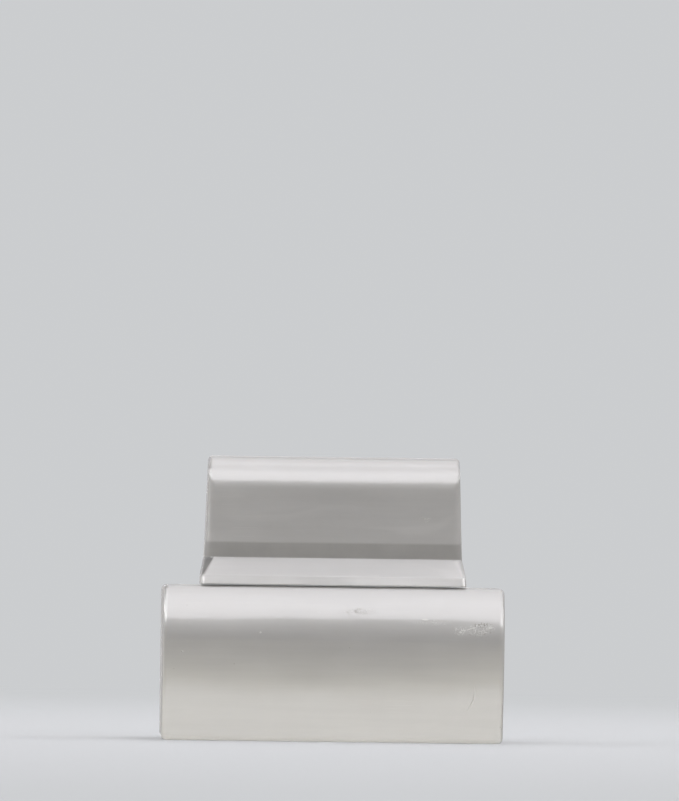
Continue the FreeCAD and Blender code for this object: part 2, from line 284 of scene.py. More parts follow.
def with_soot(mat, colour):
    """Dark specks in and around the scuffed patches of the wet half."""
    specks = mat.grain(shift=(7, 3, 1), size=2900, rough=0.65)
    soot = mat.mul(mat.ball(*SOOT_TOP), mat.ramp(specks, (0.53, 0.60)))
    for place, span, strength in ((SOOT_BELOW, (0.58, 0.66), 0.6),
                                  (SOOT_MIDDLE, (0.56, 0.64), 0.30)):
        patch = mat.ball(*place)
        soot = mat.max(soot, mat.mul(patch, mat.mul(mat.ramp(specks, span), strength)))
    return mat.mix(mat.mul(soot, 0.75), colour, (0.34, 0.30, 0.25))


def wet_foot(mat, rough):
    """The foot edge is rubbed matt from standing. Returns roughness and specular level."""
    foot = mat.ramp(mat.xyz[2], (0.0004, 0.0017), to=(1.0, 0.0))
    return mat.add(rough, mat.mul(foot, 0.30)), mat.ramp(foot, (0.0, 1.0), to=(0.5, 0.42))


def dry_hold(mat, colour, rough):
    """A matt finger hold under the grip, its colour darkened as painted shade, and painted
    shade in the left corner of the ramp. Returns colour, roughness and specular level."""
    x, _, z = mat.xyz
    hold = mat.mul(mat.ramp(z, HOLD_START), mat.ramp(z, HOLD_END, to=(1.0, 0.0)))
    # painted shade: the hold's colour is darkened to about 70 %, standing in for the shade under
    # the grip
    painted_shade = mat.ramp(mat.noise(130, rough=0.55), (0.25, 0.75), to=(0.68, 0.74))
    colour = mat.mix(hold, colour, mat.tint(colour, painted_shade))
    rough = mat.add(rough, mat.mul(hold, 0.22))
    level = mat.ramp(hold, (0.0, 1.0), to=(0.5, 0.16))
    edge = mat.add(mat.mul(mat.sub(NOOK_Z, z), NOOK_SLOPE), NOOK_X)
    nook = mat.ramp(mat.add(x, edge), (-0.00025, 0.00010), to=(1.0, 0.0))
    band = mat.mul(mat.ramp(z, NOOK_START), mat.ramp(z, NOOK_END, to=(1.0, 0.0)))
    # painted shade: the left corner of the ramp is darkened to 52-60 %, standing in for its
    # shadow
    painted_shade = mat.spread(mat.noise(300, detail=2), 0.52, 0.60)
    colour = mat.mix(mat.mul(nook, band), colour, mat.tint(colour, painted_shade))
    return colour, rough, level


def casing_normal(mat, wet, hair, scuff, pit):
    """Bevelled edges, slow moulding waviness, orange peel, scratches and scuffs."""
    z = mat.xyz[2]
    # the ends of the crown are rounded more softly than the other edges
    radius = 0.00035 if wet else mat.ramp(z, (0.0500, 0.0620), to=(0.00035, 0.00150))
    waves = mat.grain((1, 1, 2.2), size=34, detail=1.5, rough=0.4)
    bevel = mat.new("Bevel", {"Radius": radius}, samples=4 if wet else 6).outputs[0]
    normal = mat.bump(waves, depth=0.00032, under=bevel)
    normal = mat.bump(mat.noise(520, detail=2), depth=0.000004, under=normal)
    normal = mat.bump(hair, depth=-0.000004, under=normal)
    normal = mat.bump(mat.add(scuff, mat.mul(pit, -1.0)), depth=0.00006, under=normal)
    if wet:
        # the long walls sink a little between their ends as the moulding cools
        along = mat.div(mat.xyz[0], DENT_HALF_LENGTH)
        above = mat.div(mat.sub(z, DENT_Z), DENT_HEIGHT)
        bell = mat.math("EXPONENT", mat.mul(mat.mul(above, above), -1.0))
        dent = mat.mul(bell, mat.sub(1.0, mat.mul(along, along)))
        return mat.bump(dent, depth=-0.00055, under=normal)
    # the ramp is a touch steeper than its corner lines where the wall behind it is thick
    slope = mat.ramp(z, (0.03960, 0.04387), smooth=False)
    return mat.bump(slope, depth=0.00040, under=normal)


def hazed(mat, level, normal):
    """Handling haze dulls the edges and ends seen from the sides and back."""
    incoming = mat.split(mat.new("NewGeometry").outputs["Incoming"])
    facing = mat.new("LayerWeight", {"Normal": normal}).outputs["Facing"]
    haze = mat.add(mat.mul(mat.ramp(facing, (0.45, 0.75)), 0.55), 0.45)
    haze = mat.mul(haze, mat.ramp(incoming[1], (-0.95, -0.72)))
    return mat.mul(level, mat.sub(1.0, haze))


def casing(name, wet):
    mat = Mat(name)
    colour = mat.tint(CASING_WHITE, casing_tone(mat, smear_lift=0.0 if wet else 0.06))
    hair = hairlines(mat)
    pit = mat.ramp(mat.voronoi(420), (0.10, 0.035))
    sparse = mat.grain(shift=(4, 2, 9), size=90, detail=2)
    pit = mat.mul(pit, mat.ramp(sparse, (0.60, 0.66)))
    scuff = wet_scuffs(mat) if wet else dry_scuffs(mat)
    colour = mat.mix(mat.mul(scuff, 0.90), colour, (0.93, 0.92, 0.90))
    if wet:
        colour = with_soot(mat, colour)
    colour = mat.mix(mat.mul(pit, 0.35), colour, (0.30, 0.28, 0.25))
    # painted shade: darker where ambient occlusion is high, mostly along the seam
    ao_shade = mat.ramp(mat.ao(0.0016), (0.08, 0.45), to=(0.08, 0.0))
    colour = mat.mix(ao_shade, colour, (0.26, 0.25, 0.24))
    rough = mat.add(mat.spread(mat.noise(70, rough=0.6), 0.115, 0.165), mat.mul(hair, 0.12))
    rough = mat.add(rough, mat.mul(scuff, 0.35))
    if wet:
        rough, level = wet_foot(mat, rough)
    else:
        colour, rough, level = dry_hold(mat, colour, rough)
    normal = casing_normal(mat, wet, hair, scuff, pit)
    return mat.surface(colour, rough, normal, {
        "IOR": 1.5,
        "Subsurface Weight": 0.12,
        "Subsurface Radius": (0.0016, 0.0013, 0.0010),
        "Subsurface Scale": 1.0,
        "Specular IOR Level": hazed(mat, level, normal),
    })


# ---------------------------------------------------------------------------
# the other materials
# ---------------------------------------------------------------------------
def plate_plastic(name):
    mat = Mat(name)
    swirl = mat.noise(60, rough=0.6)
    colour = mat.tint((0.70, 0.68, 0.65), mat.spread(swirl, 0.95, 1.03))
    # painted shade: darker where ambient occlusion is high, in the plate's recesses
    ao_shade = mat.ramp(mat.ao(0.0012), (0.2, 0.85), to=(0.5, 0.0))
    colour = mat.mix(ao_shade, colour, (0.25, 0.24, 0.22))
    rough = mat.spread(mat.noise(140, detail=2), 0.30, 0.42)
    normal = mat.bump(mat.noise(2200, detail=2, rough=0.6), depth=0.000010)
    normal = mat.bump(mat.noise(50, detail=1), depth=0.0002, under=normal)
    return mat.surface(colour, rough, normal)


def weld_plastic(name):
    mat = Mat(name)
    lumps = mat.noise(420, rough=0.55)
    colour = mat.tint((0.70, 0.68, 0.62), mat.spread(lumps, 0.90, 1.05))
    rough = mat.spread(lumps, 0.12, 0.28)
    return mat.surface(colour, rough, mat.bump(lumps, depth=0.00018))


def ferrite(name):
    mat = Mat(name)
    specks = mat.noise(5200, detail=2, rough=0.7)
    cloud = mat.noise(120, rough=0.6)
    colour = mat.mix(mat.ramp(specks, (0.4, 0.65)), (0.055, 0.054, 0.058), (0.115, 0.112, 0.118))
    colour = mat.mix(mat.ramp(cloud, (0.45, 0.7), to=(0.0, 0.35)), colour, (0.16, 0.155, 0.15))
    grinding = mat.grain((60, 3800, 60), detail=2)
    normal = mat.bump(specks, depth=0.00002)
    normal = mat.bump(grinding, depth=0.00001, under=normal)
    return mat.surface(colour, mat.spread(grinding, 0.45, 0.68), normal, {"Metallic": 0.35})


def frame_plastic(name):
    mat = Mat(name)
    cloud = mat.spread(mat.noise(80, rough=0.6), 0.0, 1.0)
    colour = mat.mix(cloud, (0.030, 0.032, 0.036), (0.050, 0.052, 0.056))
    rough = mat.spread(mat.noise(300, detail=2), 0.38, 0.52)
    normal = mat.bump(mat.noise(3000, detail=2, rough=0.6), depth=0.000016)
    return mat.surface(colour, rough, normal)


def steel(name):
    """Plated sheet, brushed along X, with a faint spangle."""
    mat = Mat(name)
    brush = mat.grain((30, 5200, 5200), rough=0.6)
    spangle = mat.new("SeparateColor", {0: mat.voronoi(260, output="Color")}).outputs[0]
    colour = mat.mix(spangle, (0.44, 0.45, 0.46), (0.60, 0.61, 0.62))
    rough = mat.spread(brush, 0.24, 0.42)
    return mat.surface(colour, rough, mat.bump(brush, depth=0.000008), {"Metallic": 1.0})


def resin(name):
    """Dark cast resin with flow marks and a few bubbles."""
    mat = Mat(name)
    flow = mat.noise(70, dist=1.2)
    colour = mat.mix(mat.spread(flow, 0.0, 1.0), (0.012, 0.011, 0.010), (0.030, 0.026, 0.022))
    bubbles = mat.ramp(mat.voronoi(700), (0.12, 0.05))
    bubbles = mat.mul(bubbles, mat.ramp(mat.noise(200, detail=2), (0.55, 0.62)))
    normal = mat.bump(flow, depth=0.0003)
    normal = mat.bump(bubbles, depth=-0.0001, under=normal)
    return mat.surface(colour, mat.spread(flow, 0.10, 0.22), normal)


def glue(name):
    mat = Mat(name)
    film = mat.noise(900, rough=0.6)
    colour = mat.mix(mat.ramp(film, (0.35, 0.65)), (0.62, 0.58, 0.44), (0.74, 0.71, 0.58))
    return mat.surface(colour, mat.spread(film, 0.25, 0.5), mat.bump(film, depth=0.00004))


def felt_cloth(name):
    """Needled wool felt: pale grey mix with a few dark stray fibres."""
    mat = Mat(name)
    fibres = mat.max(
        mat.grain((900, 2600, 1400), turn=(0.2, 0.3, 0.6), rough=0.7, dist=1.5),
        mat.grain((2600, 800, 1400), turn=(0.5, 0.1, -0.5), rough=0.7, dist=1.5))
    cloud = mat.noise(180, rough=0.6)
    colour = mat.mix(mat.ramp(fibres, (0.48, 0.74)), (0.560, 0.558, 0.548), (0.760, 0.752, 0.730))
    colour = mat.mix(mat.ramp(cloud, (0.4, 0.7), to=(0.0, 0.45)), colour, (0.640, 0.634, 0.618))
    strays = mat.grain((700, 2900, 1500), turn=(0.9, 0.2, 1.1), detail=2, rough=0.6, dist=2.0)
    strays = mat.mul(mat.ramp(strays, (0.70, 0.74)), 0.7)
    colour = mat.mix(strays, colour, (0.10, 0.10, 0.105))
    return mat.surface(colour, 0.95, mat.bump(fibres, depth=0.00009), {
        "Sheen Weight": 0.5,
        "Sheen Roughness": 0.5,
        "Specular IOR Level": 0.2,
    })


def hook_plastic(name):
    """Stiff natural nylon monofilament, milky and slightly see-through."""
    mat = Mat(name)
    milk = mat.ramp(mat.noise(700, detail=2), (0.35, 0.65))
    colour = mat.mix(milk, (0.60, 0.60, 0.565), (0.74, 0.74, 0.71))
    rough = mat.spread(mat.noise(2500, detail=2), 0.28, 0.46)
    normal = mat.bump(mat.noise(9000, detail=2), depth=0.000006)
    return mat.surface(colour, rough, normal, {
        "Subsurface Weight": 0.35,
        "Subsurface Radius": (0.0004, 0.0004, 0.0003),
        "Subsurface Scale": 1.0,
    })


WEAVE_PITCH = 0.0009


def tape_cloth(name):
    mat = Mat(name)
    x, y, _ = mat.xyz
    warp = mat.math("SINE", mat.mul(x, 2 * math.pi / WEAVE_PITCH))
    weft = mat.math("SINE", mat.mul(y, 2 * math.pi / WEAVE_PITCH))
    threads = mat.mul(mat.add(warp, weft), 0.5)
    fuzz = mat.noise(6000, detail=2, rough=0.7)
    colour = mat.mix(mat.ramp(threads, (-0.6, 0.8)), (0.30, 0.31, 0.30), (0.50, 0.51, 0.50))
    colour = mat.mix(mat.ramp(fuzz, (0.4, 0.7), to=(0.0, 0.4)), colour, (0.40, 0.405, 0.395))
    return mat.surface(colour, 0.85, mat.bump(fuzz, depth=0.00003), {"Sheen Weight": 0.25})


MATS = {
    "wet_casing": casing("wet_casing_abs", wet=True),
    "dry_casing": casing("dry_casing_abs", wet=False),
    "plate": plate_plastic("plate_abs"),
    "weld": weld_plastic("weld_abs"),
    "ferrite": ferrite("magnet_ferrite"),
    "frame": frame_plastic("magnet_frame_abs"),
    "steel": steel("keeper_steel_plated"),
    "resin": resin("potting_resin_cast"),
    "glue": glue("pad_adhesive_film"),
    "felt": felt_cloth("felt_needled"),
    "hook": hook_plastic("hook_nylon"),
    "tape": tape_cloth("backing_woven"),
}

# the CAD parts that wear each material
DRESS = {
    "wet_casing": ("float_shell",),
    "dry_casing": ("handle_shell",),
    "plate": ("float_base_plate", "handle_base_plate"),
    "weld": ("float_weld_bead", "handle_weld_bead"),
    "ferrite": ("float_magnet_left", "float_magnet_right",
                "handle_magnet_left", "handle_magnet_right"),
    "frame": ("float_magnet_frame", "handle_magnet_frame"),
    "steel": ("float_keeper_plate", "handle_keeper_plate"),
    "resin": ("float_potting", "handle_potting"),
    "glue": ("float_pad_adhesive", "handle_pad_adhesive"),
    "felt": ("felt_pad",),
    "hook": ("scrub_pad_hooks",),
    "tape": ("scrub_pad_backing",),
}
for key, parts in DRESS.items():
    for part in parts:
        solid = NODES[part]
        if not solid.material_slots:
            solid.data.materials.append(None)
        for slot in solid.material_slots:
            slot.material = MATS[key]


# ---------------------------------------------------------------------------
# mesh helpers
# ---------------------------------------------------------------------------
def new_piece(name, verts, faces, material, smooth=True):
    mesh = bpy.data.meshes.new(name)
    mesh.from_pydata([tuple(vert) for vert in verts], [], faces)
    mesh.update()
    if smooth:
        mesh.polygons.foreach_set("use_smooth", [True] * len(mesh.polygons))
    piece = bpy.data.objects.new(name, mesh)
    bpy.context.scene.collection.objects.link(piece)
    mesh.materials.append(material)
    return piece


def half_size(low, high):
    return (high.x - low.x) / 2, (high.y - low.y) / 2


def value_noise(x, y, seed, cell):
    """Smooth seeded noise in [-1, 1] on numpy arrays."""
    grid_x, grid_y = x / cell, y / cell
    cell_x, cell_y = np.floor(grid_x).astype(int), np.floor(grid_y).astype(int)
    part_x, part_y = grid_x - cell_x, grid_y - cell_y
    part_x, part_y = part_x * part_x * (3 - 2 * part_x), part_y * part_y * (3 - 2 * part_y)

    def corner(i, j):
        mixed = (i * 374761393 + j * 668265263 + seed * 974634777) & 0x7FFFFFFF
        mixed = ((mixed ^ (mixed >> 13)) * 1274126177) & 0x7FFFFFFF
        return ((mixed ^ (mixed >> 16)) % 20011) / 10005.0 - 1.0

    def row(j):
        return corner(cell_x, j) * (1 - part_x) + corner(cell_x + 1, j) * part_x

    return row(cell_y) * (1 - part_y) + row(cell_y + 1) * part_y


EDGE_LOOPS = 4      # loops round a slab's rolled edge


def slab(half_x, half_y, corner, bottom_z, top_z, columns, rows, edge,
         top_sink=None, bottom_sink=None, side_sink=None):
    """Closed round-cornered slab with gridded faces and a soft rolled edge.
    The sink functions give inward offsets in metres. Returns vertices and faces."""
    across, along = np.linspace(-1, 1, columns), np.linspace(-1, 1, rows)

    def sheet(inset, z):
        radius = max(corner - inset, 1e-5)
        y = along * (half_y - inset)
        cut = np.clip(np.abs(y) - (half_y - inset - radius), 0, radius)
        rounding = radius - np.sqrt(np.clip(radius * radius - cut * cut, 0, None))
        grid_x = across[None, :] * (half_x - inset - rounding)[:, None]
        grid_y = np.repeat(y[:, None], columns, 1)
        return np.stack([grid_x, grid_y, np.full_like(grid_x, z)], -1)

    top, bottom, outline = sheet(edge, top_z), sheet(edge, bottom_z), sheet(0.0, 0.0)
    if top_sink is not None:
        top[..., 2] -= top_sink(top[..., 0], top[..., 1])
    if bottom_sink is not None:
        bottom[..., 2] += bottom_sink(bottom[..., 0], bottom[..., 1])
    verts = [top.reshape(-1, 3), bottom.reshape(-1, 3)]

    def at(layer, j, i):
        return layer * columns * rows + j * columns + i

    faces = []
    for j in range(rows - 1):
        for i in range(columns - 1):
            faces.append((at(0, j, i), at(0, j, i + 1), at(0, j + 1, i + 1), at(0, j + 1, i)))
            faces.append((at(1, j, i), at(1, j + 1, i), at(1, j + 1, i + 1), at(1, j, i + 1)))

    # the grid's border points in order, as (row, column)
    ring = ([(0, i) for i in range(columns)]
            + [(j, columns - 1) for j in range(1, rows)]
            + [(rows - 1, i) for i in range(columns - 2, -1, -1)]
            + [(j, 0) for j in range(rows - 2, 0, -1)])
    count = len(ring)
    loops = [[at(0, j, i) for j, i in ring]]
    for s in range(EDGE_LOOPS):
        down = (s + 1) / (EDGE_LOOPS + 1)
        angle = math.pi * down
        inset = edge * (1 - math.sin(angle))
        z = top_z + (bottom_z - top_z) * (0.5 - 0.5 * math.cos(angle))
        loop = []
        for q, (j, i) in enumerate(ring):
            outer = outline[j, i]
            inward = top[j, i][:2] - outer[:2]
            length = np.linalg.norm(inward)
            if length > 1e-9:
                inward = inward / length
            offset = inset + (side_sink(q / count, down) if side_sink is not None else 0.0)
            loop.append((outer[0] + inward[0] * offset, outer[1] + inward[1] * offset, z))
        verts.append(np.array(loop))
        start = 2 * columns * rows + s * count
        loops.append([start + q for q in range(count)])
    loops.append([at(1, j, i) for j, i in ring])
    for upper, lower in zip(loops[:-1], loops[1:]):
        for q in range(count):
            after = (q + 1) % count
            faces.append((upper[q], lower[q], lower[after], upper[after]))
    return np.vstack(verts), faces


def tubes(paths, radii, sides):
    """One closed mesh of many thin tubes; paths is (count, points, 3) and radii
    (count, points)."""
    count, points, _ = paths.shape
    tangent = np.gradient(paths, axis=1)
    tangent /= np.linalg.norm(tangent, axis=2, keepdims=True) + 1e-12
    guide = np.zeros_like(tangent)
    guide[..., 1] = 1.0
    guide[np.abs(tangent[..., 1]) > 0.9] = (1.0, 0.0, 0.0)
    first = np.cross(tangent, guide)
    first /= np.linalg.norm(first, axis=2, keepdims=True) + 1e-12
    second = np.cross(tangent, first)
    angle = (np.arange(sides) * 2 * math.pi / sides)[None, None, :, None]
    round_it = first[:, :, None, :] * np.cos(angle) + second[:, :, None, :] * np.sin(angle)
    verts = paths[:, :, None, :] + radii[:, :, None, None] * round_it
    faces = []
    for t in range(count):
        start = t * points * sides
        for j in range(points - 1):
            here, ahead = start + j * sides, start + (j + 1) * sides
            for s in range(sides):
                after = (s + 1) % sides
                faces.append((here + s, here + after, ahead + after, ahead + s))
        end = start + (points - 1) * sides
        faces.append(tuple(start + s for s in range(sides - 1, -1, -1)))
        faces.append(tuple(end + s for s in range(sides)))
    return verts.reshape(-1, 3), faces


# ---------------------------------------------------------------------------
# felt pad under the dry half
# ---------------------------------------------------------------------------
FELT_CORNER = 0.0009
FELT_INSET = 0.00004            # body inside the CAD solid, at the sides and below
FELT_TOP_INSET = 0.00001
FELT_RELIEF = 0.00007
FELT_RAGGED = 0.00005           # unevenness of the cut edge
FACE_FIBRES, EDGE_FIBRES, FIBRE_POINTS = 4200, 1500, 6
FACE_MARGIN = 0.0008            # face fibres start this far inside the outline
FIBRE_ROOT = 0.00020            # edge fibres start this far inside it


def felt_relief(x, y):
    layers = (value_noise(x, y, seed=11, cell=0.0021) * 0.5
              + value_noise(x, y, seed=12, cell=0.0009) * 0.35
              + value_noise(x, y, seed=13, cell=0.0004) * 0.25)
    return (0.5 + 0.5 * layers) * FELT_RELIEF


def felt_ragged(around, down):
    wave = math.sin(around * 977.0) * math.sin(around * 311.0 + down * 7)
    return FELT_RAGGED * (0.5 + 0.5 * wave)


def build_felt_body(low, high):
    half_x, half_y = half_size(low, high)
    verts, faces = slab(
        half_x - FELT_INSET, half_y - FELT_INSET, FELT_CORNER,
        low.z + FELT_INSET, high.z - FELT_TOP_INSET, columns=220, rows=112, edge=0.00010,
        bottom_sink=felt_relief, side_sink=felt_ragged)
    body = new_piece("felt_pad_body", verts, faces, MATS["felt"])
    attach(body, "dry_half")
    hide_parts("felt_pad")


def face_fibre_paths(low, high):
    """Curling fibres that lie on the wiping face, which points down."""
    half_x, half_y = half_size(low, high)
    reach_x, reach_y = half_x - FACE_MARGIN, half_y - FACE_MARGIN
    x = RNG.uniform(-reach_x, reach_x, FACE_FIBRES)
    y = RNG.uniform(-reach_y, reach_y, FACE_FIBRES)
    heading = RNG.uniform(0, 2 * math.pi, FACE_FIBRES)
    curl = RNG.uniform(-1.6, 1.6, FACE_FIBRES)
    length = RNG.uniform(0.0006, 0.0016, FACE_FIBRES)
    paths = np.zeros((FACE_FIBRES, FIBRE_POINTS, 3))
    for j in range(FIBRE_POINTS):
        part = j / (FIBRE_POINTS - 1)
        if j:
            x = x + np.cos(heading + curl * part) * length / (FIBRE_POINTS - 1)
            y = y + np.sin(heading + curl * part) * length / (FIBRE_POINTS - 1)
        paths[:, j, 0] = x
        paths[:, j, 1] = y
        paths[:, j, 2] = low.z + 0.00010 - 0.00007 * math.sin(math.pi * part)
    return paths


def edge_fibre_paths(low, high):
    """Fibres that stand out of the cut edge and droop a little."""
    half_x, half_y = half_size(low, high)
    along = RNG.uniform(0, 1, EDGE_FIBRES) * 2 - 1
    on_long = RNG.uniform(0, 1, EDGE_FIBRES) < half_x / (half_x + half_y)
    sign = np.where(RNG.uniform(0, 1, EDGE_FIBRES) < 0.5, -1.0, 1.0)
    root_x = np.where(on_long, along * (half_x - FELT_CORNER), sign * (half_x - FIBRE_ROOT))
    root_y = np.where(on_long, sign * (half_y - FIBRE_ROOT), along * (half_y - FELT_CORNER))
    out_x, out_y = np.where(on_long, 0.0, sign), np.where(on_long, sign, 0.0)
    root_z = RNG.uniform(low.z + 0.00006, high.z - 0.00006, EDGE_FIBRES)
    length = RNG.uniform(0.00022, 0.00040, EDGE_FIBRES)
    skew = RNG.uniform(-0.0006, 0.0006, EDGE_FIBRES)
    paths = np.zeros((EDGE_FIBRES, FIBRE_POINTS, 3))
    for j in range(FIBRE_POINTS):
        part = j / (FIBRE_POINTS - 1)
        for axis, root, out in ((0, root_x, out_x), (1, root_y, out_y)):
            paths[:, j, axis] = (root + out * length * (part - 0.25 * part * part)
                                 + (1 - np.abs(out)) * skew * part * part)
        paths[:, j, 2] = np.clip(root_z - 0.00010 * part * part, low.z + 0.00002, None)
    return paths


def build_felt_fibres(low, high):
    paths = np.concatenate([face_fibre_paths(low, high), edge_fibre_paths(low, high)])
    thickness = RNG.uniform(0.000010, 0.000019, len(paths))
    radii = np.repeat(thickness[:, None], FIBRE_POINTS, 1)
    radii[:, 0] *= 0.6
    radii[:, -1] *= 0.35
    verts, faces = tubes(paths, radii, sides=3)
    fibres = new_piece("felt_pad_fibres", verts, faces, MATS["felt"])
    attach(fibres, "dry_half")


felt_low, felt_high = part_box("felt_pad")
build_felt_body(felt_low, felt_high)
build_felt_fibres(felt_low, felt_high)


# ---------------------------------------------------------------------------
# scrubbing pad on the wet half: woven backing
# ---------------------------------------------------------------------------
TAPE_CORNER = 0.0030
THREAD_RELIEF = 0.00010
THREAD_RIPPLE = 0.00002
WEAVE_SINK = 0.00003            # the whole weave lies this far below the CAD top


def weave(x, y):
    wave_x, wave_y = np.sin(x * math.pi / WEAVE_PITCH), np.sin(y * math.pi / WEAVE_PITCH)
    height = 0.5 + 0.5 * np.where(wave_x * wave_y > 0, np.abs(wave_x), np.abs(wave_y))
    ripple = np.sin(x * 2 * math.pi / WEAVE_PITCH) * np.sin(y * 2 * math.pi / WEAVE_PITCH)
    return (1 - height) * THREAD_RELIEF + THREAD_RIPPLE * ripple + WEAVE_SINK


def build_backing():
    """Make the woven tape and return the height of its top."""
    low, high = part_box("scrub_pad_backing")
    verts, faces = slab(*half_size(low, high), TAPE_CORNER, low.z, high.z,
                        columns=260, rows=104, edge=0.00018, top_sink=weave)
    tape = new_piece("scrub_backing_weave", verts, faces, MATS["tape"])
    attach(tape, "wet_half")
    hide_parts("scrub_pad_backing")
    return high.z


# ---------------------------------------------------------------------------
# scrubbing pad: hook pile
# ---------------------------------------------------------------------------
HOOK_PITCH = 0.00098
HOOK_MARGIN = 0.0003            # bare strip round the pile
HOOK_CORNER = 0.0027
HOOK_POINTS, STEM_POINTS = 9, 3
HOOK_ROOT = 0.00006             # depth of the root in the tape
STEM_SHARE = 0.34               # straight part of the pile height
HOOK_BEND = math.radians(215)
HOOK_RADIUS = 0.000062
# other radii by point index along the hook
HOOK_TAPER = {0: 0.000085, 1: 0.000068, -2: 0.000054, -1: 0.000034}


def hook_bases(half_x, half_y):
    """Staggered rows as x, y and the side the hook bends to, which swaps every two rows."""
    bases = []
    for j, y in enumerate(np.arange(-half_y, half_y + 1e-9, HOOK_PITCH)):
        for column_x in np.arange(-half_x, half_x + 1e-9, HOOK_PITCH):
            x = column_x + (0.5 * HOOK_PITCH if j % 2 else 0.0)
            if abs(x) > half_x:
                continue
            past_x, past_y = abs(x) - (half_x - HOOK_CORNER), abs(y) - (half_y - HOOK_CORNER)
            if past_x > 0 and past_y > 0 and math.hypot(past_x, past_y) > HOOK_CORNER:
                continue
            bases.append((x, y, 1.0 if (j // 2) % 2 else -1.0))
    return np.array(bases)


def hook_profile(j, height):
    """Sideways reach and height over the tape of point j of an upright hook."""
    stem = STEM_SHARE * height
    if j < STEM_POINTS:
        return 0.0, -HOOK_ROOT + (stem + HOOK_ROOT) * (j / (STEM_POINTS - 1))
    angle = HOOK_BEND * ((j - STEM_POINTS + 1) / (HOOK_POINTS - STEM_POINTS))
    radius = (1 - STEM_SHARE) * height * 0.86
    return radius * 0.62 * (1 - math.cos(angle)), stem + radius * math.sin(angle)


def build_hooks(tape_top):
    low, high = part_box("scrub_pad_hooks")
    half_x, half_y = half_size(low, high)
    bases = hook_bases(half_x - HOOK_MARGIN, half_y - HOOK_MARGIN)
    count = len(bases)
    stray_x, stray_y = RNG.normal(0, 0.00005, count), RNG.normal(0, 0.00005, count)
    turn = RNG.normal(0, 0.22, count)
    scale = RNG.uniform(0.90, 1.0, count)
    paths = np.zeros((count, HOOK_POINTS, 3))
    for j in range(HOOK_POINTS):
        reach, rise = hook_profile(j, high.z - tape_top)
        paths[:, j, 0] = bases[:, 0] + stray_x + reach * bases[:, 2] * np.cos(turn)
        paths[:, j, 1] = bases[:, 1] + stray_y + reach * np.sin(turn)
        paths[:, j, 2] = tape_top + (rise * scale if rise > 0 else rise)
    radii = np.full((count, HOOK_POINTS), HOOK_RADIUS)
    for j, radius in HOOK_TAPER.items():
        radii[:, j] = radius
    verts, faces = tubes(paths, radii, sides=6)
    hooks = new_piece("scrub_hook_pile", verts, faces, MATS["hook"])
    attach(hooks, "wet_half")
    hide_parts("scrub_pad_hooks")


build_hooks(build_backing())


# ---------------------------------------------------------------------------
# floor
# ---------------------------------------------------------------------------
FLOOR_Z = -0.00002
FLOOR_RADII = (0.05, 0.12, 0.25, 0.5, 1.0, 2.0, 4.0, 9.0)
FLOOR_SEGMENTS = 96


def floor_paper():
    """Matt paper that fades into the even backdrop away from the centre."""
    mat = Mat("floor_paper")
    x, y, _ = mat.xyz
    distance = mat.math("SQRT", mat.add(mat.mul(x, x), mat.mul(y, y)))
    far = mat.ramp(distance, (0.10, 0.85))
    tone = mat.spread(mat.noise(900, rough=0.6), 0.985, 1.01)
    normal = mat.bump(mat.noise(2400, rough=0.6), depth=0.00003)
    mat.surface(mat.tint(FLOOR_PAPER, tone), 0.75, normal, {"Specular IOR Level": 0.15})
    glow = mat.new("Emission", {0: BACKDROP})
    fade = mat.new("MixShader", {0: far, 1: mat.bsdf.outputs[0], 2: glow.outputs[0]})
    mat.put(mat.out.inputs[0], fade.outputs[0])
    return mat.material


def build_floor():
    verts = [(0, 0, FLOOR_Z)]
    for radius in FLOOR_RADII:
        for s in range(FLOOR_SEGMENTS):
            angle = 2 * math.pi * s / FLOOR_SEGMENTS
            verts.append((radius * math.cos(angle), radius * math.sin(angle), FLOOR_Z))
    faces = [(0, 1 + s, 1 + (s + 1) % FLOOR_SEGMENTS) for s in range(FLOOR_SEGMENTS)]
    for q in range(len(FLOOR_RADII) - 1):
        start = 1 + q * FLOOR_SEGMENTS
        for s in range(FLOOR_SEGMENTS):
            here, after = start + s, start + (s + 1) % FLOOR_SEGMENTS
            faces.append((here, here + FLOOR_SEGMENTS, after + FLOOR_SEGMENTS, after))
    floor = new_piece("floor_disc", verts, faces, floor_paper(), smooth=False)
    floor.visible_diffuse = False
    floor.visible_glossy = False
    floor.visible_transmission = False
    floor.visible_shadow = False


build_floor()


# ---------------------------------------------------------------------------
# studio: diffuse rays see a soft dome, glossy rays see the softbox overhead,
# a dark belt at eye level and a bright warm card low down
# ---------------------------------------------------------------------------
PLAIN = (1.0, 1.0, 1.0)
WARM = (1.0, 0.985, 0.93)
WARMER = (1.0, 0.970, 0.84)
COOL = (0.99, 0.978, 1.0)
SKY = (0.985, 0.985, 1.0)
BELT = (1.0, 0.985, 0.955)

# radiance by elevation: degrees, level, tint
CARD_STOPS = (
    (-90, 7.6, WARM), (-62, 8.6, WARM), (-48, 7.8, WARM), (-38, 7.6, WARM),
    (-32.5, 7.6, WARM), (-29.5, 7.5, WARM), (-26, 6.9, WARM), (-21.5, 5.0, WARMER),
    (-17, 3.6, WARMER), (-10.4, 1.9, WARMER), (-4, 0.60, PLAIN), (-1.5, 0.7, PLAIN),
    (1, 1.1, PLAIN), (6, 1.6, PLAIN), (12, 2.3, PLAIN), (18, 3.2, PLAIN), (22, 4.0, PLAIN),
    (25, 4.4, PLAIN), (28, 2.0, PLAIN), (32, 0.25, PLAIN), (90, 0.2, PLAIN),
)
DOME_STOPS = (
    (-90, 0.46, WARM), (-20, 0.44, WARM), (0, 0.385, PLAIN), (30, 0.40, SKY), (90, 0.43, SKY),
)


